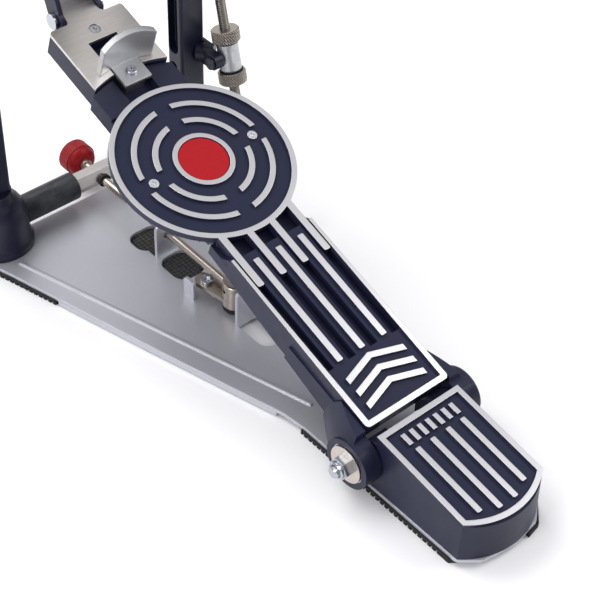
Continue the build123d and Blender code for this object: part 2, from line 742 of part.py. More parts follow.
with BuildPart() as toe_plate:
    with BuildSketch(BOARD.offset(-2.2)):
        with BuildLine():
            Polyline((-NOSE_HALF, 262), (NOSE_HALF, 262), (NOSE_HALF, NOSE_SHOULDER - 1.5), (NOSE_HALF - 1.5, NOSE_SHOULDER),
                     (TIP_HALF + 2, NOSE_SHOULDER), (TIP_HALF, NOSE_SHOULDER + 2), (TIP_HALF, TIP_END), (-TIP_HALF, TIP_END),
                     (-TIP_HALF, NOSE_SHOULDER + 2), (-TIP_HALF - 2, NOSE_SHOULDER),
                     (-NOSE_HALF + 1.5, NOSE_SHOULDER), (-NOSE_HALF, NOSE_SHOULDER - 1.5), (-NOSE_HALF, 262))
        make_face()
        with Locations((0, DISC_S)):
            Circle(NOSE_ARC, mode=Mode.SUBTRACT)
        with Locations((0, 288)):
            Rectangle(22, 46, mode=Mode.SUBTRACT)
        with Locations((0, 319.4)):
            Circle(3.9, mode=Mode.SUBTRACT)
    extrude(amount=2.2)
save(toe_plate, "toe_plate")

with BuildPart() as toe_plate_screw:
    with BuildSketch(BOARD.offset(-2.2)):
        with Locations((0, 319.4)):
            Circle(3.6)
    extrude(amount=1.5)
    with BuildSketch(BOARD.offset(-1.6)):
        with Locations((0, 319.4)):
            Rectangle(3.8, 0.9)
            Rectangle(0.9, 3.8)
    extrude(amount=2, mode=Mode.SUBTRACT)
    with BuildSketch(BOARD.offset(-9)):
        with Locations((0, 319.4)):
            Circle(2.0)
    extrude(amount=6.8)
save(toe_plate_screw, "toe_plate_screw")

with BuildPart() as toe_pin:
    with BuildSketch(at_x(-18.6)):
        with Locations((PIN_Y, PIN_Z)):
            Circle(2.95)
    extrude(amount=37.2)
    with BuildSketch(at_x(16.4)):
        with Locations((PIN_Y, PIN_Z)):
            Circle(5.6)
    head = extrude(amount=2.4)
    mirror(head, about=Plane.YZ)
save(toe_pin, "toe_pin")

# ---------------------------------------------------------------- disc carriage
with BuildPart() as disc_saddle:
    # flat saddle on the beam
    with BuildSketch(BOARD.offset(-10.9)):
        with BuildLine():
            Polyline((-31, 160), (31, 160), (31, 283), (-31, 283), (-31, 160))
        make_face()
        with Locations((-38.8, DISC_S), (38.8, DISC_S)):
            Circle(6.5)
        with Locations((0, DISC_S)):
            Rectangle(77.6, 13)
        with BuildLine():
            Line((-40, 262), (-40, 320))
            Line((-40, 320), (40, 320))
            Line((40, 320), (40, 262))
            Line((40, 262), (31.0, 262))
            Line((31.0, 262), (31.0, 276.5))
            ThreePointArc((31.0, 276.5), (0, DISC_S + 81.3), (-31.0, 276.5))
            Line((-31.0, 276.5), (-31.0, 262))
            Line((-31.0, 262), (-40, 262))
        make_face(mode=Mode.SUBTRACT)
    extrude(amount=10.9 - 7.1)
    # raised toe tongue
    with BuildSketch(BOARD.offset(-8)):
        with BuildLine():
            Line((-31, 256), (31, 256))
            Line((31, 256), (31, 276.5))
            ThreePointArc((31, 276.5), (0, DISC_S + 81.3), (-31, 276.5))
            Line((-31, 276.5), (-31, 256))
        make_face()
        with Locations((0, DISC_S)):
            Circle(DISC_R + 0.05, mode=Mode.SUBTRACT)
    extrude(amount=8 - 4.5)
    # side flanges wrapping the beam
    with BuildSketch(BOARD.offset(-17)):
        with Locations((-29.65, 217), (29.65, 217)):
            Rectangle(2.7, 114)
    extrude(amount=17 - 7.1)
    with BuildSketch(BOARD.offset(-17)):
        with Locations((-29.85, 268), (29.85, 268)):
            Rectangle(2.3, 17)
    extrude(amount=17 - 4.5)
    # slot for the toe stop
    with BuildSketch(BOARD.offset(-12)):
        with Locations((0, 280)):
            Rectangle(24, 40)
    extrude(amount=12, mode=Mode.SUBTRACT)
    with BuildSketch(BOARD.offset(-12)):
        with Locations((-38.8, DISC_S), (38.8, DISC_S)):
            Circle(2.1)
    extrude(amount=12, mode=Mode.SUBTRACT)
save(disc_saddle, "disc_saddle")

with BuildPart() as foot_disc:
    # disc body with a chamfered underside
    with BuildSketch(BOARD.offset(-7.0)):
        with Locations((0, DISC_S)):
            Circle(DISC_R)
    extrude(amount=7.0 - GROOVE)
    chamfer(faces().filter_by(GeomType.PLANE).sort_by(Axis.Z)[0].edges(), length=2.4)
    # finger bodies
    with BuildSketch(BOARD.offset(-6.2)):
        for fx in FINGERS:
            with Locations((fx, (FINGER_END + 158) / 2)):
                RectangleRounded(FINGER_W, 158 - FINGER_END, 1.2)
    extrude(amount=6.2 - GROOVE)
    # polished rim, fingers and central ring, all at the top plane
    with BuildSketch(BOARD.offset(-GROOVE)):
        with Locations((0, DISC_S)):
            Circle(DISC_R)
        for fx in FINGERS:
            with Locations((fx, (FINGER_END + 158) / 2)):
                RectangleRounded(FINGER_W, 158 - FINGER_END, 1.2)
        with Locations((0, DISC_S)):
            Circle(DISC_R - RIM_W, mode=Mode.SUBTRACT)
            Circle(19.9)
            Circle(16.6, mode=Mode.SUBTRACT)
    extrude(amount=GROOVE)
    # concentric arcs, broken on the long and cross axes
    with BuildSketch(BOARD.offset(-GROOVE)):
        with Locations((0, DISC_S)):
            Circle(45.7)
            Circle(42.0, mode=Mode.SUBTRACT)
            Circle(32.5)
            Circle(28.7, mode=Mode.SUBTRACT)
            Rectangle(11.5, 100, mode=Mode.SUBTRACT)
            Rectangle(100, 11.5, mode=Mode.SUBTRACT)
    extrude(amount=GROOVE)
    # seat for the insert and bores of the two screws
    with BuildSketch(BOARD.offset(-3.4)):
        with Locations((0, DISC_S)):
            Circle(16.6)
    extrude(amount=4, mode=Mode.SUBTRACT)
    with BuildSketch(BOARD.offset(-8)):
        with Locations((-38.8, DISC_S), (38.8, DISC_S)):
            Circle(2.1)
    extrude(amount=10, mode=Mode.SUBTRACT)
save(foot_disc, "foot_disc")

with BuildPart() as disc_insert:
    with BuildSketch(BOARD.offset(-3.4)):
        with Locations((0, DISC_S)):
            Circle(16.5)
    extrude(amount=3.0)
    fillet(faces().filter_by(GeomType.PLANE).sort_by(Axis.Z)[-1].edges(), radius=0.8)
save(disc_insert, "disc_insert")

with BuildPart() as disc_screws:
    with BuildSketch(BOARD.offset(-10)):
        with Locations((-38.8, DISC_S), (38.8, DISC_S)):
            Circle(2.0)
    extrude(amount=10 - GROOVE)
    with BuildSketch(BOARD.offset(-GROOVE)):
        with Locations((-38.8, DISC_S), (38.8, DISC_S)):
            Circle(3.25)
            Rectangle(3.4, 0.8, mode=Mode.SUBTRACT)
            Rectangle(0.8, 3.4, mode=Mode.SUBTRACT)
    extrude(amount=1.7)
    with BuildSketch(BOARD.offset(-GROOVE)):
        with Locations((-38.8, DISC_S), (38.8, DISC_S)):
            Circle(3.25)
    extrude(amount=0.7)
save(disc_screws, "disc_screws")

# ---------------------------------------------------------------- toe stop
with BuildPart() as toe_stop:
    with BuildSketch(BOARD.offset(-1.6)):
        with Locations((0, 280.6)):
            RectangleRounded(20.4, 20.4, 1.0)
    extrude(amount=2.6)
    # upright, bowed in plan
    with BuildSketch(BOARD.offset(0.3)):
        with BuildLine():
            ThreePointArc((-20.3, 284.6), (0, 287.6), (20.3, 284.6))
            Line((20.3, 284.6), (20.3, 288.8))
            ThreePointArc((20.3, 288.8), (0, 291.8), (-20.3, 288.8))
            Line((-20.3, 288.8), (-20.3, 284.6))
        make_face()
    extrude(amount=28)
    # arched top edge
    with BuildSketch(Plane(origin=(0, BOARD_Y + 270 * cb, BOARD_Z + 270 * sb), x_dir=(1, 0, 0), z_dir=(0, -cb, -sb))):
        with BuildLine():
            ThreePointArc((-30, 14.5), (0, 27.6), (30, 14.5))
            Line((30, 14.5), (30, 40))
            Line((30, 40), (-30, 40))
            Line((-30, 40), (-30, 14.5))
        make_face()
    extrude(amount=-40, mode=Mode.SUBTRACT)
    with BuildSketch(BOARD.offset(-3)):
        with Locations((0, 279.0)):
            Circle(2.15)
    extrude(amount=6, mode=Mode.SUBTRACT)
save(toe_stop, "toe_stop")

with BuildPart() as toe_stop_screw:
    with BuildSketch(BOARD.offset(1.0)):
        with Locations((0, 279.0)):
            Circle(3.7)
    extrude(amount=2.2)
    fillet(faces().filter_by(GeomType.PLANE).sort_by(Axis.Z)[-1].edges(), radius=0.9)
    with BuildSketch(BOARD.offset(2.0)):
        with Locations((0, 279.0)):
            Rectangle(3.8, 0.9)
            Rectangle(0.9, 3.8)
    extrude(amount=2, mode=Mode.SUBTRACT)
    with BuildSketch(BOARD.offset(-7)):
        with Locations((0, 279.0)):
            Circle(2.05)
    extrude(amount=8.0)
save(toe_stop_screw, "toe_stop_screw")

with BuildPart() as toe_stop_nut:
    with BuildSketch(BOARD.offset(-10.9)):
        with Locations((0, 280.0)):
            RectangleRounded(16, 15, 1)
        with Locations((0, 279.0)):
            Circle(2.08, mode=Mode.SUBTRACT)
    extrude(amount=10.9 - 1.6)
save(toe_stop_nut, "toe_stop_nut")

# ---------------------------------------------------------------- drive
HEX_AXLE_R = 6.0
with BuildPart() as axle:
    with BuildSketch(at_x(-96)):
        with Locations((AXLE_Y, AXLE_Z)):
            Circle(6.0)
    extrude(amount=196)
    with BuildSketch(at_x(-70.5)):
        with Locations((AXLE_Y, AXLE_Z)):
            RegularPolygon(8.2, 6)
    extrude(amount=141)
save(axle, "axle")

with BuildPart() as axle_collar:
    with BuildSketch(at_x(-97)):
        with Locations((AXLE_Y, AXLE_Z)):
            Circle(9.5)
            Circle(6.02, mode=Mode.SUBTRACT)
    extrude(amount=4.6)
    chamfer(faces().sort_by(Axis.X)[0].edges().sort_by(SortBy.LENGTH)[-1:], length=0.8)
save(axle_collar, "axle_collar")

_c, _s = math.cos(math.radians(CRANK_ANGLE)), math.sin(math.radians(CRANK_ANGLE))
with BuildPart() as drive_crank:
    with BuildSketch(at_x(-12)):
        with Locations((AXLE_Y, AXLE_Z)):
            Circle(14.5)
        with Locations((CRANK_Y, CRANK_Z)):
            Circle(8.0)
        with BuildLine():
            Polyline((AXLE_Y - 13 * _s, AXLE_Z + 13 * _c), (CRANK_Y - 7.6 * _s, CRANK_Z + 7.6 * _c),
                     (CRANK_Y + 7.6 * _s, CRANK_Z - 7.6 * _c), (AXLE_Y + 13 * _s, AXLE_Z - 13 * _c),
                     (AXLE_Y - 13 * _s, AXLE_Z + 13 * _c))
        make_face()
    extrude(amount=24)
    # boss that grips the beater rod
    with BuildSketch(BEATER.offset(-13)):
        with Locations((0, -5)):
            RectangleRounded(24, 29, 4)
    extrude(amount=30)
    # side pockets lighten the arm
    with BuildSketch(at_x(-13)):
        with Locations(((AXLE_Y + CRANK_Y) / 2 + 5.5, (AXLE_Z + CRANK_Z) / 2 + 1.2)):
            Circle(4.2)
    extrude(amount=6, mode=Mode.SUBTRACT)
    with BuildSketch(at_x(13)):
        with Locations(((AXLE_Y + CRANK_Y) / 2 + 5.5, (AXLE_Z + CRANK_Z) / 2 + 1.2)):
            Circle(4.2)
    extrude(amount=-6, mode=Mode.SUBTRACT)
    with BuildSketch(at_x(-20)):
        with Locations((AXLE_Y, AXLE_Z)):
            RegularPolygon(8.24, 6)
        with Locations((CRANK_Y, CRANK_Z)):
            Circle(4.0)
    extrude(amount=40, mode=Mode.SUBTRACT)
    with BuildSketch(BEATER.offset(-30)):
        Circle(4.06)
    extrude(amount=60, mode=Mode.SUBTRACT)
    # threaded hole of the beater screw
    with BuildSketch(Plane(origin=BEATER.from_local_coords((0, 14, 9)), x_dir=(1, 0, 0), z_dir=BEATER.y_dir)):
        Circle(2.55)
    extrude(amount=-13, mode=Mode.SUBTRACT)
save(drive_crank, "drive_crank")

with BuildPart() as crank_pin:
    with BuildSketch(at_x(-18.8)):
        with Locations((CRANK_Y, CRANK_Z)):
            Circle(3.97)
    extrude(amount=37.6)
    with BuildSketch(at_x(17.6)):
        with Locations((CRANK_Y, CRANK_Z)):
            Circle(6.4)
    cap = extrude(amount=2.2)
    mirror(cap, about=Plane.YZ)
save(crank_pin, "crank_pin")

with BuildPart() as beater_screw:
    with BuildSketch(Plane(origin=BEATER.from_local_coords((0, 4.3, 9)), x_dir=(1, 0, 0), z_dir=BEATER.y_dir)):
        Circle(2.45)
    extrude(amount=8.5)
    with BuildSketch(Plane(origin=BEATER.from_local_coords((0, 10.2, 9)), x_dir=(1, 0, 0), z_dir=BEATER.y_dir)):
        Circle(4.6)
    extrude(amount=3.4)
    with BuildSketch(Plane(origin=BEATER.from_local_coords((0, 13.6, 9)), x_dir=(1, 0, 0), z_dir=BEATER.y_dir)):
        Rectangle(5.2, 5.2)
    extrude(amount=5.5)
save(beater_screw, "beater_screw")

with BuildPart() as drive_link:
    _ly, _lz = CRANK_Y - PIN_Y, CRANK_Z - PIN_Z
    _ll = math.hypot(_ly, _lz)
    _uy, _uz = _ly / _ll, _lz / _ll
    _py, _pz = _uz, -_uy

    def link_pt(t, w):
        return (PIN_Y + _uy * t + _py * w, PIN_Z + _uz * t + _pz * w)

    with BuildSketch(at_x(12.9)):
        with BuildLine():
            Polyline(link_pt(0, -7.8), link_pt(_ll, -8.2), link_pt(_ll, 8.2), link_pt(0, 5.8), link_pt(0, -7.8))
        make_face()
        with Locations(link_pt(-0.3, -1.2)):
            Circle(7.9)
        with Locations((CRANK_Y, CRANK_Z)):
            Circle(10.0)
    arm = extrude(amount=3.3)
    mirror(arm, about=Plane.YZ)
    # web joining the two arms, clear of crank and footboard
    with BuildSketch(at_x(-13)):
        with BuildLine():
            Polyline(link_pt(34, -1.5), link_pt(66, -1.5), link_pt(66, 3.2), link_pt(34, 3.2), link_pt(34, -1.5))
        make_face()
    extrude(amount=26)
    # lower eyes are slotted, upper eyes take bearings
    with BuildSketch(Plane(origin=(-20, *link_pt(-0.32, -1.31)), x_dir=(0, _py, _pz), z_dir=(1, 0, 0))):
        SlotOverall(9.4, 7.6)
    extrude(amount=40, mode=Mode.SUBTRACT)
    with BuildSketch(at_x(-20)):
        with Locations((CRANK_Y, CRANK_Z)):
            Circle(7.5)
    extrude(amount=40, mode=Mode.SUBTRACT)
save(drive_link, "drive_link")

with BuildPart() as link_bearings:
    with BuildSketch(at_x(12.9)):
        with Locations((CRANK_Y, CRANK_Z)):
            Circle(7.47)
            Circle(4.0, mode=Mode.SUBTRACT)
    extrude(amount=3.3)
    mirror(about=Plane.YZ)
save(link_bearings, "link_bearings")

with BuildPart() as spring_crank:
    with BuildSketch(at_x(92.4)):
        with Locations((AXLE_Y, AXLE_Z)):
            Circle(13)
        with Locations((SPIN_Y, SPIN_Z)):
            Circle(6.5)
        with BuildLine():
            _qy, _qz = _dz / SPRING_LINE, -_dy / SPRING_LINE
            Polyline((AXLE_Y + 12.4 * _qy, AXLE_Z + 12.4 * _qz), (SPIN_Y + 6.3 * _qy, SPIN_Z + 6.3 * _qz),
                     (SPIN_Y - 6.3 * _qy, SPIN_Z - 6.3 * _qz), (AXLE_Y - 12.4 * _qy, AXLE_Z - 12.4 * _qz),
                     (AXLE_Y + 12.4 * _qy, AXLE_Z + 12.4 * _qz))
        make_face()
        with Locations((AXLE_Y, AXLE_Z)):
            Circle(6.02, mode=Mode.SUBTRACT)
        with Locations((SPIN_Y, SPIN_Z)):
            Circle(2.5, mode=Mode.SUBTRACT)
    extrude(amount=5.2)
save(spring_crank, "spring_crank")

with BuildPart() as spring_crank_pin:
    with BuildSketch(at_x(92.4)):
        with Locations((SPIN_Y, SPIN_Z)):
            Circle(2.48)
    extrude(amount=5.2)
    with BuildSketch(at_x(97.6)):
        with Locations((SPIN_Y, SPIN_Z)):
            Circle(3.0)
    extrude(amount=7.6)
    with BuildSketch(at_x(105.2)):
        with Locations((SPIN_Y, SPIN_Z)):
            Circle(4.6)
    extrude(amount=2.0)
save(spring_crank_pin, "spring_crank_pin")

# ---------------------------------------------------------------- beater
with BuildPart() as beater_rod:
    with BuildSketch(BEATER.offset(-24)):
        Circle(4.0)
    extrude(amount=24 + 152)
    chamfer(edges().filter_by(GeomType.CIRCLE), length=0.6)
save(beater_rod, "beater_rod")

HEAD_T = 150.0
HEAD = Plane(origin=BEATER.from_local_coords((0, 0, HEAD_T)), x_dir=(1, 0, 0), z_dir=BEATER.y_dir)
with BuildPart() as beater_core:
    with BuildSketch(HEAD.offset(-17)):
        Circle(17)
    extrude(amount=30)
    with BuildSketch(BEATER.offset(HEAD_T - 40)):
        Circle(4.02)
    extrude(amount=40 + 2.1, mode=Mode.SUBTRACT)
save(beater_core, "beater_core")

with BuildPart() as beater_felt:
    with BuildSketch(HEAD.offset(-15)):
        Circle(25)
    extrude(amount=36)
    fillet(edges().filter_by(GeomType.CIRCLE), radius=5)
    with BuildSketch(HEAD.offset(-20)):
        Circle(17)
    extrude(amount=33, mode=Mode.SUBTRACT)
    with BuildSketch(BEATER.offset(HEAD_T - 40)):
        Circle(4.6)
    extrude(amount=40, mode=Mode.SUBTRACT)
save(beater_felt, "beater_felt")

# ---------------------------------------------------------------- return spring
with BuildPart() as spring_swivel:
    with BuildSketch(SPRING.offset(-10.2)):
        Circle(7.7)
        Circle(3.85, mode=Mode.SUBTRACT)
    extrude(amount=20.4)
    chamfer(faces().filter_by(GeomType.PLANE).edges().filter_by(GeomType.CIRCLE).group_by(SortBy.LENGTH)[-1], length=0.5)
    # wrench flat on the outer side
    with BuildSketch(SPRING.offset(-3.2)):
        with Locations((0, -9.6)):
            Rectangle(20, 5)
    extrude(amount=8.4, mode=Mode.SUBTRACT)
    with BuildSketch(at_x(SPRING_X - 8)):
        with Locations((SWIVEL_Y, SWIVEL_Z)):
            Circle(3.0)
    extrude(amount=3.4, mode=Mode.SUBTRACT)
save(spring_swivel, "spring_swivel")

with BuildPart() as swivel_pin:
    with BuildSketch(at_x(83.6)):
        with Locations((SWIVEL_Y, SWIVEL_Z)):
            Circle(3.0)
    extrude(amount=SPRING_X - 4.7 - 83.6)
    with BuildSketch(at_x(83.2)):
        with Locations((SWIVEL_Y, SWIVEL_Z)):
            Circle(4.4)
    extrude(amount=2.0)
    with BuildSketch(at_x(92.3)):
        with Locations((SWIVEL_Y, SWIVEL_Z)):
            Circle(5.2)
    extrude(amount=0.9)
save(swivel_pin, "swivel_pin")

with BuildPart() as tension_rod:
    with BuildSketch(SPRING.offset(-38)):
        Circle(3.75)
    extrude(amount=38 + 46)
    chamfer(edges().filter_by(GeomType.CIRCLE), length=0.7)
save(tension_rod, "tension_rod")

with BuildPart() as swivel_rings:
    with BuildSketch(SPRING.offset(10.2)):
        Circle(8.4)
        Circle(3.9, mode=Mode.SUBTRACT)
    extrude(amount=1.1)
    with BuildSketch(SPRING.offset(-11.3)):
        Circle(8.4)
        Circle(3.9, mode=Mode.SUBTRACT)
    extrude(amount=1.1)
save(swivel_rings, "swivel_rings")


def tension_nut(lo):
    with BuildPart() as nut:
        with BuildSketch(SPRING.offset(lo)):
            Circle(10.0)
            Circle(3.8, mode=Mode.SUBTRACT)
        extrude(amount=8.8)
        chamfer(faces().filter_by(GeomType.PLANE).edges().filter_by(GeomType.CIRCLE).group_by(SortBy.LENGTH)[-1], length=0.7)
        # straight knurl
        with BuildSketch(SPRING.offset(lo - 1)):
            with PolarLocations(10.3, 30):
                Circle(0.62)
        extrude(amount=11, mode=Mode.SUBTRACT)
    return nut


upper_tension_nut = tension_nut(11.35)
save(upper_tension_nut, "upper_tension_nut")
lower_tension_nut = tension_nut(-20.15)
save(lower_tension_nut, "lower_tension_nut")

# coil envelope of the tension spring
COIL_LO, COIL_HI = 46.6, 94.0
with BuildPart() as return_spring:
    with BuildSketch(SPRING.offset(COIL_LO)):
        Circle(8.2)
        Circle(5.2, mode=Mode.SUBTRACT)
    extrude(amount=COIL_HI - COIL_LO)
save(return_spring, "return_spring")

# end fitting of the spring with the loop around the crank pin
with BuildPart() as spring_hanger:
    with BuildSketch(SPRING.offset(COIL_HI + 0.2)):
        Circle(8.2)
    extrude(amount=3.2)
    with BuildSketch(Plane(origin=SPRING.from_local_coords((-1.6, 0, SPRING_PIN_D - 3.4)), x_dir=SPRING.y_dir, z_dir=(1, 0, 0))):
        Circle(9.2)
        with Locations((0, -13)):
            Rectangle(6, 14)
        Circle(6.5, mode=Mode.SUBTRACT)
    extrude(amount=3.2)
save(spring_hanger, "spring_hanger")

print("toe pin", PIN_Y, PIN_Z, "crank pin", CRANK_Y, CRANK_Z, "spring pin", SPIN_Y, SPIN_Z, SPRING_PIN_D)
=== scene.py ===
import math

import bpy
from mathutils import Matrix, Vector


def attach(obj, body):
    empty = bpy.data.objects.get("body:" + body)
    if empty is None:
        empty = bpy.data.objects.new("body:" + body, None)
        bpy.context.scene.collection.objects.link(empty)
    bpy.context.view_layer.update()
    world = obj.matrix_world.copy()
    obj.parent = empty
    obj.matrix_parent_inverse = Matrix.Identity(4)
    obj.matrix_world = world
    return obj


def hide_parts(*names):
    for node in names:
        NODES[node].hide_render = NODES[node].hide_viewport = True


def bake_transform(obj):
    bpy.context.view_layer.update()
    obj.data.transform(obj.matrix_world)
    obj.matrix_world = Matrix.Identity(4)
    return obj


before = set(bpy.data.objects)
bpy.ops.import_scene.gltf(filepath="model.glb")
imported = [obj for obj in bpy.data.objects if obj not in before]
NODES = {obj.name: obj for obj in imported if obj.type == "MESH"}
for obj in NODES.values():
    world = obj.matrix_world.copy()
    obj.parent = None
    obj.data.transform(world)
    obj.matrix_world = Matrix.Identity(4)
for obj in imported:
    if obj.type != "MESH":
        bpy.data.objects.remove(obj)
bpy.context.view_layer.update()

# ---------------------------------------------------------------- the part's own planes, in metres
PITCH = math.radians(18.376)
CB, SB = math.cos(PITCH), math.sin(PITCH)
BOARD_O = Vector((0, -0.00224, 0.04919))
BOARD_N = Vector((0, -SB, CB))
BOARD_S = Vector((0, CB, SB))
HEEL_O = Vector((0, -0.0097, 0.0484))
SPRING_O = Vector((0.101, 0.289, 0.0926))
_sd = Vector((0, 0.322 - 0.289, 0.230 - 0.0926))
SPRING_Z = _sd.normalized()
SPRING_Y = SPRING_Z.cross(Vector((1, 0, 0))).normalized()
COIL_LO, COIL_HI = 0.0466, 0.0940


def srgb(r, g, b):
    out = []
    for v in (r, g, b):
        v /= 255
        out.append(v / 12.92 if v <= 0.04045 else ((v + 0.055) / 1.055) ** 2.4)
    return (*out, 1.0)


class Nodes:
    """A small builder of shader trees."""

    def __init__(self, name):
        self.m = bpy.data.materials.new(name)
        self.m.use_nodes = True
        self.t = self.m.node_tree
        self.t.nodes.clear()
        self.out = self.add("ShaderNodeOutputMaterial")
        self.p = self.add("ShaderNodeBsdfPrincipled")
        self.link(self.p.outputs[0], self.out.inputs[0])
        self.co = self.add("ShaderNodeTexCoord").outputs["Object"]

    def add(self, kind, **props):
        n = self.t.nodes.new(kind)
        for k, v in props.items():
            setattr(n, k, v)
        return n

    def link(self, a, b):
        self.t.links.new(a, b)

    def put(self, socket, value):
        if isinstance(value, bpy.types.NodeSocket):
            self.link(value, socket)
        else:
            socket.default_value = value

    def math(self, op, a, b=0.0, c=0.0, clamp=False):
        n = self.add("ShaderNodeMath", operation=op, use_clamp=clamp)
        self.put(n.inputs[0], a)
        self.put(n.inputs[1], b)
        self.put(n.inputs[2], c)
        return n.outputs[0]

    def dot(self, v, w):
        n = self.add("ShaderNodeVectorMath", operation="DOT_PRODUCT")
        self.put(n.inputs[0], v)
        self.put(n.inputs[1], tuple(w) if isinstance(w, Vector) else w)
        return n.outputs["Value"]

    def vec(self, op, v, w):
        n = self.add("ShaderNodeVectorMath", operation=op)
        self.put(n.inputs[0], v)
        self.put(n.inputs[1], tuple(w) if isinstance(w, Vector) else w)
        return n.outputs[0]

    def noise(self, scale, detail=2.0, rough=0.5, stretch=(1, 1, 1), distortion=0.0):
        mp = self.add("ShaderNodeMapping")
        self.put(mp.inputs["Vector"], self.co)
        mp.inputs["Scale"].default_value = stretch
        n = self.add("ShaderNodeTexNoise")
        self.link(mp.outputs[0], n.inputs["Vector"])
        n.inputs["Scale"].default_value = scale
        n.inputs["Detail"].default_value = detail
        n.inputs["Roughness"].default_value = rough
        n.inputs["Distortion"].default_value = distortion
        return n.outputs["Fac"]

    def ramp(self, fac, lo, hi, a=0.0, b=1.0):
        n = self.add("ShaderNodeMapRange")
        n.clamp = True
        self.put(n.inputs["Value"], fac)
        n.inputs["From Min"].default_value = lo
        n.inputs["From Max"].default_value = hi
        n.inputs["To Min"].default_value = a
        n.inputs["To Max"].default_value = b
        return n.outputs[0]

    def mix(self, fac, a, b):
        n = self.add("ShaderNodeMix", data_type="RGBA")
        self.put(n.inputs[0], fac)
        self.put(n.inputs[6], a)
        self.put(n.inputs[7], b)
        return n.outputs[2]

    def bevel(self, radius, samples=4):
        n = self.add("ShaderNodeBevel", samples=samples)
        n.inputs["Radius"].default_value = radius
        return n.outputs[0]

    def edge(self, radius):
        """0 on flats, 1 on sharp edges."""
        g = self.add("ShaderNodeNewGeometry")
        b = self.bevel(radius, 6)
        return self.ramp(self.dot(b, g.outputs["True Normal"]), 0.985, 0.90)

    def bump(self, height, strength, distance, normal=None):
        n = self.add("ShaderNodeBump")
        n.inputs["Strength"].default_value = strength
        n.inputs["Distance"].default_value = distance
        self.put(n.inputs["Height"], height)
        if normal is not None:
            self.link(normal, n.inputs["Normal"])
        return n.outputs[0]

    def set(self, **kw):
        for k, v in kw.items():
            self.put(self.p.inputs[k.replace("_", " ")], v)
        return self.m


MATS = {}


def keep(name, m):
    MATS[name] = m
    return m


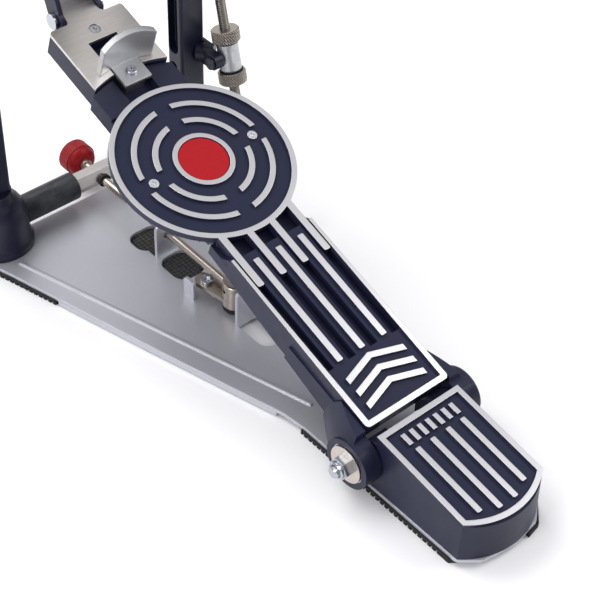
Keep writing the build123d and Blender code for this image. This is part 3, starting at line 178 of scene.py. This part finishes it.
def make_materials():
    # navy satin paint of the castings, with a painted highlight: a lighter colour on sharp edges
    n = Nodes("navy_paint")
    base = n.mix(n.ramp(n.noise(9, 3), 0.35, 0.65), srgb(25, 27, 50), srgb(30, 32, 56))
    # painted highlight: edges found from the bevel normal are mixed towards a light grey-blue
    base = n.mix(n.math("MULTIPLY", n.edge(0.00045), 0.30), base, srgb(120, 122, 138))
    nb = n.bump(n.noise(2600, 2), 0.10, 0.0002, n.bevel(0.0006))
    n.set(Base_Color=base, Roughness=n.ramp(n.noise(60, 3), 0.3, 0.7, 0.36, 0.46), Normal=nb)
    n.set(Specular_IOR_Level=0.32)
    keep("navy", n.m)

    # the same paint, darker and rougher, on the floors of the recesses and the disc face
    n = Nodes("navy_floor")
    base = n.mix(n.ramp(n.noise(14, 3), 0.35, 0.65), srgb(24, 27, 52), srgb(28, 31, 57))
    nb = n.bump(n.noise(1900, 3, 0.6), 0.22, 0.0003, n.bevel(0.0005))
    n.set(Base_Color=base, Roughness=0.5, Specular_IOR_Level=0.24, Normal=nb)
    keep("navy_floor", n.m)

    # polished tops of rims, bars and fingers
    n = Nodes("polished_line")
    br = n.noise(2600, 2, 0.5)
    n.set(Base_Color=n.mix(br, srgb(200, 199, 202), srgb(220, 219, 222)), Metallic=1.0,
          Roughness=0.32, Normal=n.bump(br, 0.06, 0.0001, n.bevel(0.0005)))
    keep("polish", n.m)

    # navy columns: a little glossier, with a painted highlight: a lighter colour on sharp edges
    n = Nodes("navy_column")
    base = n.mix(n.math("MULTIPLY", n.edge(0.0006), 0.35), srgb(22, 24, 44), srgb(128, 130, 146))
    nb = n.bump(n.noise(2200, 2), 0.08, 0.0002, n.bevel(0.0009))
    n.set(Base_Color=base, Roughness=0.36, Specular_IOR_Level=0.34, Normal=nb)
    keep("column", n.m)

    # silver paint of the base, fine metallic grain
    n = Nodes("base_silver")
    grain = n.noise(5200, 2, 0.6)
    base = n.mix(n.ramp(grain, 0.3, 0.7), srgb(176, 177, 184), srgb(208, 209, 216))
    n.set(Base_Color=base, Metallic=0.55, Roughness=n.ramp(n.noise(7, 2), 0.3, 0.7, 0.33, 0.38),
          Normal=n.bump(grain, 0.12, 0.0001, n.bevel(0.0009)))
    keep("base", n.m)

    # brushed steel
    n = Nodes("brushed_steel")
    br = n.noise(900, 3, 0.6, (0.06, 1, 1))
    n.set(Base_Color=n.mix(br, srgb(204, 199, 195), srgb(232, 228, 224)), Metallic=1.0,
          Roughness=n.ramp(br, 0.3, 0.7, 0.28, 0.35), Normal=n.bump(br, 0.035, 0.0002, n.bevel(0.0005)))
    keep("steel", n.m)

    n = Nodes("warm_steel")
    br = n.noise(700, 3, 0.6, (1, 0.05, 1))
    n.set(Base_Color=n.mix(br, srgb(160, 150, 140), srgb(196, 187, 178)), Metallic=1.0, Roughness=0.32,
          Normal=n.bump(br, 0.08, 0.0002))
    keep("warm_steel", n.m)

    # bright zinc
    n = Nodes("zinc_plate")
    br = n.noise(160, 2)
    n.set(Base_Color=n.mix(br, srgb(172, 176, 184), srgb(200, 203, 210)), Metallic=1.0,
          Roughness=n.ramp(br, 0.3, 0.7, 0.18, 0.26), Normal=n.bevel(0.0004))
    keep("zinc", n.m)

    n = Nodes("bright_screw")
    n.set(Base_Color=srgb(222, 223, 227), Metallic=1.0, Roughness=0.24, Normal=n.bevel(0.0004))
    keep("bright", n.m)

    n = Nodes("warm_zinc")
    br = n.noise(500, 2)
    n.set(Base_Color=n.mix(br, srgb(196, 186, 176), srgb(222, 214, 206)), Metallic=1.0, Roughness=0.27,
          Normal=n.bevel(0.0004))
    keep("warm_zinc", n.m)

    # blasted grey casting
    n = Nodes("cast_grey")
    g = n.noise(1700, 4, 0.65)
    n.set(Base_Color=n.mix(n.ramp(g, 0.3, 0.7), srgb(172, 173, 176), srgb(208, 209, 211)), Metallic=0.85,
          Roughness=0.38, Normal=n.bump(g, 0.25, 0.0003, n.bevel(0.0012)))
    keep("cast", n.m)

    # threaded rod, with painted shade: darker colour at smaller radius, in the thread grooves
    n = Nodes("threaded_rod")
    d = n.vec("SUBTRACT", n.co, SPRING_O)
    x = n.dot(d, Vector((1, 0, 0)))
    y = n.dot(d, SPRING_Y)
    r = n.math("SQRT", n.math("ADD", n.math("MULTIPLY", x, x), n.math("MULTIPLY", y, y)))
    n.set(Base_Color=n.mix(n.ramp(r, 0.00325, 0.0037), srgb(62, 58, 54), srgb(186, 180, 172)), Metallic=1.0, Roughness=0.3)
    keep("thread", n.m)

    # diagonally knurled nuts, with painted shade: the knurl grooves coloured dark brown-grey
    n = Nodes("knurled_nickel")
    d = n.vec("SUBTRACT", n.co, SPRING_O)
    h = n.dot(d, SPRING_Z)
    x = n.dot(d, Vector((1, 0, 0)))
    y = n.dot(d, SPRING_Y)
    ang = n.math("ARCTAN2", y, x)
    r = n.math("SQRT", n.math("ADD", n.math("MULTIPLY", x, x), n.math("MULTIPLY", y, y)))
    a1 = n.math("SINE", n.math("ADD", n.math("MULTIPLY", ang, 34.0), n.math("MULTIPLY", h, 2400.0)))
    k = n.math("MULTIPLY_ADD", a1, 0.5, 0.5)
    k = n.math("MULTIPLY", k, n.ramp(r, 0.0091, 0.0094))
    n.set(Base_Color=n.mix(k, srgb(216, 206, 196), srgb(84, 76, 68)), Metallic=1.0, Roughness=0.3,
          Normal=n.bump(n.math("SUBTRACT", 1.0, k), 0.9, 0.0006))
    keep("knurl", n.m)

    # black rubber
    n = Nodes("black_rubber")
    g = n.noise(900, 3)
    n.set(Base_Color=n.mix(g, srgb(20, 20, 22), srgb(36, 36, 38)), Roughness=0.72, Specular_IOR_Level=0.3,
          Normal=n.bump(g, 0.3, 0.0003, n.bevel(0.0004)))
    keep("rubber", n.m)

    # mat below the base: rows of small raised dots, with a painted highlight: the dots coloured lighter than the gaps
    n = Nodes("dotted_mat")
    v = n.add("ShaderNodeTexVoronoi")
    n.put(v.inputs["Vector"], n.co)
    v.inputs["Scale"].default_value = 330.0
    v.inputs["Randomness"].default_value = 0.15
    dd = n.ramp(v.outputs["Distance"], 0.2, 0.6, 1.0, 0.0)
    n.set(Base_Color=n.mix(dd, srgb(16, 16, 17), srgb(58, 58, 60)), Roughness=0.7, Normal=n.bump(dd, 0.9, 0.0008))
    keep("mat", n.m)

    # mottled grey sleeve
    n = Nodes("grey_sleeve")
    g = n.noise(120, 5, 0.65, (0.45, 1, 1), 0.6)
    n.set(Base_Color=n.mix(n.ramp(g, 0.36, 0.66), srgb(30, 31, 34), srgb(68, 70, 75)), Metallic=0.25, Roughness=0.42,
          Normal=n.bump(g, 0.25, 0.0004, n.bevel(0.0006)))
    keep("sleeve", n.m)

    # red knob, semi gloss
    n = Nodes("red_plastic")
    g = n.noise(300, 2)
    n.set(Base_Color=n.mix(g, srgb(136, 6, 15), srgb(152, 10, 20)), Roughness=0.42, Specular_IOR_Level=0.25, Normal=n.bump(g, 0.1, 0.0002, n.bevel(0.0005)))
    keep("red_plastic", n.m)

    # red insert, softer
    n = Nodes("red_insert")
    g = n.noise(1200, 2)
    n.set(Base_Color=n.mix(g, srgb(158, 8, 19), srgb(172, 12, 25)), Roughness=0.55, Specular_IOR_Level=0.22, Normal=n.bump(g, 0.12, 0.0002, n.bevel(0.0006)))
    keep("red_insert", n.m)

    # pressed felt
    n = Nodes("pressed_felt")
    g = n.noise(900, 5, 0.7)
    g2 = n.noise(180, 4, 0.6)
    n.set(Base_Color=n.mix(g2, srgb(214, 210, 200), srgb(238, 236, 230)), Roughness=0.95,
          Sheen_Weight=0.4, Normal=n.bump(n.math("ADD", g, g2), 0.8, 0.0012))
    keep("felt", n.m)

    n = Nodes("turned_maple")
    w = n.add("ShaderNodeTexWave")
    n.put(w.inputs["Vector"], n.co)
    w.inputs["Scale"].default_value = 60.0
    w.inputs["Distortion"].default_value = 4.0
    w.inputs["Detail"].default_value = 3.0
    n.set(Base_Color=n.mix(w.outputs["Fac"], srgb(176, 132, 84), srgb(204, 166, 118)), Roughness=0.4, Coat_Weight=0.3)
    keep("wood", n.m)

    n = Nodes("white_nylon")
    n.set(Base_Color=srgb(206, 208, 204), Roughness=0.5, Subsurface_Weight=0.0)
    keep("nylon", n.m)

    # near-black for the inside of holes: painted shade; no part takes this material
    n = Nodes("dark_hole")
    n.set(Base_Color=srgb(18, 18, 20), Roughness=0.8)
    keep("dark", n.m)


make_materials()

LOOK = {
    "base_plate": "base", "heel_grip_pad": "rubber", "front_grip_pad_left": "rubber", "front_grip_pad_right": "rubber",
    "center_grip_mat": "mat", "heel_casting": "navy", "hinge_shaft": "zinc", "hinge_washers": "warm_zinc", "hinge_nuts": "zinc",
    "column_shroud_left": "column", "column_shroud_right": "column", "column_left": "column", "column_right": "column",
    "cross_bar": "steel", "bar_sleeves": "sleeve", "rod_grommet": "rubber", "bearing_block_left": "column",
    "bearing_block_right": "column", "axle_bearings": "zinc", "spring_arm": "column", "lever_pivot_bolt": "zinc",
    "clamp_lever": "steel", "lever_grip": "rubber", "lever_bracket": "warm_steel", "lever_screw": "zinc", "lever_foot": "rubber",
    "pull_rod": "warm_steel", "clamp_knob": "red_plastic", "footboard": "navy", "hinge_bearings": "zinc", "toe_plate": "steel",
    "toe_plate_screw": "zinc", "toe_pin": "zinc", "disc_saddle": "navy", "foot_disc": "navy", "disc_insert": "red_insert",
    "disc_screws": "bright", "toe_stop": "cast", "toe_stop_screw": "zinc", "toe_stop_nut": "steel", "axle": "steel",
    "axle_collar": "zinc", "drive_crank": "navy", "crank_pin": "zinc", "beater_screw": "zinc", "drive_link": "navy",
    "link_bearings": "zinc", "spring_crank": "cast", "spring_crank_pin": "zinc", "beater_rod": "steel", "beater_core": "wood",
    "beater_felt": "felt", "spring_swivel": "cast", "swivel_pin": "column", "tension_rod": "thread", "swivel_rings": "rubber",
    "upper_tension_nut": "knurl", "lower_tension_nut": "knurl", "return_spring": "zinc", "spring_hanger": "zinc",
}
for node, look in LOOK.items():
    o = NODES[node]
    o.data.materials.clear()
    o.data.materials.append(MATS[look])
    for p in o.data.polygons:
        p.material_index = 0


def repaint(node, look, test):
    """Faces of a node that pass test(centre, normal) take another finish."""
    me = NODES[node].data
    me.materials.append(MATS[look])
    k = len(me.materials) - 1
    for p in me.polygons:
        if test(p.center, p.normal):
            p.material_index = k


HEEL_N = None
_best = {}
for p in NODES["heel_casting"].data.polygons:
    nn = p.normal
    if abs(nn.x) < 0.01 and nn.z > 0.7:
        key = (round(nn.y, 3), round(nn.z, 3))
        _best[key] = _best.get(key, 0) + p.area
HEEL_N = Vector((0, *max(_best, key=_best.get))).normalized()


def top(origin, normal, lo=-0.0003, hi=0.0006):
    return lambda c, nn: nn.dot(normal) > 0.97 and lo < (c - origin).dot(normal) < hi


def low(origin, normal, lo, hi):
    return lambda c, nn: nn.dot(normal) > 0.97 and lo < (c - origin).dot(normal) < hi


repaint("footboard", "navy_floor", low(BOARD_O, BOARD_N, -0.012, -0.0010))
repaint("footboard", "polish", top(BOARD_O, BOARD_N))
repaint("foot_disc", "navy_floor", low(BOARD_O, BOARD_N, -0.0040, -0.0010))
repaint("foot_disc", "polish", top(BOARD_O, BOARD_N))
repaint("heel_casting", "navy_floor", low(HEEL_O, HEEL_N, -0.0030, -0.0010))
repaint("heel_casting", "polish", top(HEEL_O, HEEL_N))


def mesh_object(name, verts, faces, look, smooth=True):
    me = bpy.data.meshes.new(name)
    me.from_pydata([tuple(v) for v in verts], [], faces)
    me.update()
    if smooth:
        me.polygons.foreach_set("use_smooth", [True] * len(me.polygons))
    me.materials.append(MATS[look])
    o = bpy.data.objects.new(name, me)
    bpy.context.scene.collection.objects.link(o)
    return o


def tube(name, path, radius, look, sides=12, closed_ends=True):
    """A round wire along a list of points."""
    verts, faces = [], []
    prev = None
    n = len(path)
    for i, p in enumerate(path):
        a = path[max(i - 1, 0)]
        b = path[min(i + 1, n - 1)]
        t = (b - a).normalized()
        if prev is None:
            ref = Vector((1, 0, 0)) if abs(t.x) < 0.9 else Vector((0, 0, 1))
            u = (ref - t * ref.dot(t)).normalized()
        else:
            u = (prev - t * prev.dot(t)).normalized()
        prev = u
        v = t.cross(u)
        for k in range(sides):
            q = 2 * math.pi * k / sides
            verts.append(p + (u * math.cos(q) + v * math.sin(q)) * radius)
    for i in range(n - 1):
        for k in range(sides):
            a, b = i * sides + k, i * sides + (k + 1) % sides
            faces.append((a, b, b + sides, a + sides))
    if closed_ends:
        faces.append(tuple(range(sides - 1, -1, -1)))
        faces.append(tuple((n - 1) * sides + k for k in range(sides)))
    return mesh_object(name, verts, faces, look)


# ---------------------------------------------------------------- coil of the return spring
def coil():
    wire, mid = 0.00142, 0.00672
    turns = (COIL_HI - COIL_LO - 2 * wire) / 0.00316
    steps = int(turns * 28)
    path = []
    for i in range(steps + 1):
        q = 2 * math.pi * turns * i / steps
        h = COIL_LO + wire + (COIL_HI - COIL_LO - 2 * wire) * i / steps
        path.append(SPRING_O + SPRING_Z * h + Vector((1, 0, 0)) * (mid * math.cos(q)) + SPRING_Y * (mid * math.sin(q)))
    o = tube("spring_coil", path, wire, "zinc", 12)
    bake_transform(o)
    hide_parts("return_spring")


coil()

# ---------------------------------------------------------------- screw thread of the tension rod
def threaded_rod():
    pitch, outer, depth, lead = 0.00125, 0.00374, 0.0006, 0.0009
    lo, hi = -0.038, 0.046
    sides, rows = 24, int((hi - lo) / pitch * 6)
    verts, faces = [], []
    for i in range(rows + 1):
        h = lo + (hi - lo) * i / rows
        ends = max(0.0, 1 - min(h - lo, hi - h) / lead)
        for k in range(sides):
            q = 2 * math.pi * k / sides
            t = (h / pitch - k / sides) % 1.0
            r = outer - max(depth * (1 - abs(2 * t - 1)), 0.0007 * ends)
            verts.append(SPRING_O + SPRING_Z * h + Vector((1, 0, 0)) * (r * math.cos(q)) + SPRING_Y * (r * math.sin(q)))
    for i in range(rows):
        for k in range(sides):
            a, b = i * sides + k, i * sides + (k + 1) % sides
            faces.append((a, b, b + sides, a + sides))
    faces.append(tuple(range(sides - 1, -1, -1)))
    faces.append(tuple(rows * sides + k for k in range(sides)))
    o = mesh_object("rod_thread", verts, faces, "thread")
    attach(o, "spring_swivel")
    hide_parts("tension_rod")


threaded_rod()

# ---------------------------------------------------------------- stage
floor = mesh_object("floor", [(-4, -4, 0), (4, -4, 0), (4, 4, 0), (-4, 4, 0)], [(0, 1, 2, 3)], "nylon", False)
floor.data.materials.clear()
nf = Nodes("pale_floor")
nf.set(Base_Color=(0.93, 0.93, 0.94, 1), Roughness=0.9, Specular_IOR_Level=0.1)
floor.data.materials.append(nf.m)

world = bpy.data.worlds.new("studio")
bpy.context.scene.world = world
world.use_nodes = True
wt = world.node_tree
bg = wt.nodes["Background"]
tc = wt.nodes.new("ShaderNodeTexCoord")
sep = wt.nodes.new("ShaderNodeSeparateXYZ")
wt.links.new(tc.outputs["Generated"], sep.inputs[0])
sky = wt.nodes.new("ShaderNodeValToRGB")
sky.color_ramp.elements[0].position = 0.0
sky.color_ramp.elements[0].color = (1.0, 1.0, 1.0, 1)
sky.color_ramp.elements[1].position = 0.35
sky.color_ramp.elements[1].color = (0.42, 0.42, 0.45, 1)
e = sky.color_ramp.elements.new(0.75)
e.color = (0.9, 0.9, 0.92, 1)
wt.links.new(sep.outputs["Z"], sky.inputs[0])
wt.links.new(sky.outputs[0], bg.inputs[0])
bg.inputs[1].default_value = 0.8


def softbox(name, place, target, size, power, size_y=None, color=(1, 1, 1)):
    li = bpy.data.lights.new(name, "AREA")
    li.energy = power
    li.color = color
    li.shape = "RECTANGLE"
    li.size = size
    li.size_y = size_y or size
    o = bpy.data.objects.new(name, li)
    bpy.context.scene.collection.objects.link(o)
    d = Vector(target) - Vector(place)
    o.matrix_world = Matrix.Translation(Vector(place)) @ d.to_track_quat("-Z", "Y").to_matrix().to_4x4()
    return o


softbox("key", (-0.35, 1.1, 1.5), (0, 0.15, 0.05), 1.3, 20.0)
softbox("fill", (1.1, -0.5, 1.3), (0, 0.1, 0.05), 0.9, 9.0)
softbox("side", (-1.4, -0.1, 0.75), (0, 0.15, 0.05), 0.6, 9.0)

# ---------------------------------------------------------------- camera
az, el, roll = math.radians(-42.3), math.radians(43.129), math.radians(2.093)
back = Vector((math.sin(az) * math.cos(el), -math.cos(az) * math.cos(el), math.sin(el)))
fwd = -back
right = fwd.cross(Vector((0, 0, 1))).normalized()
up = right.cross(fwd)
R = right * math.cos(roll) + up * math.sin(roll)
U = -right * math.sin(roll) + up * math.cos(roll)
cam_data = bpy.data.cameras.new("camera")
cam_data.sensor_fit = "HORIZONTAL"
cam_data.sensor_width = 36.0
cam_data.lens = 1595.707 / 600 * 36.0
cam_data.clip_start = 0.05
cam_data.clip_end = 50
cam = bpy.data.objects.new("camera", cam_data)
bpy.context.scene.collection.objects.link(cam)
cam.matrix_world = Matrix(((R.x, U.x, back.x, -0.479646), (R.y, U.y, back.y, -0.431575), (R.z, U.z, back.z, 0.727406), (0, 0, 0, 1)))
bpy.context.scene.camera = cam
bpy.context.scene.view_settings.view_transform = "Standard"
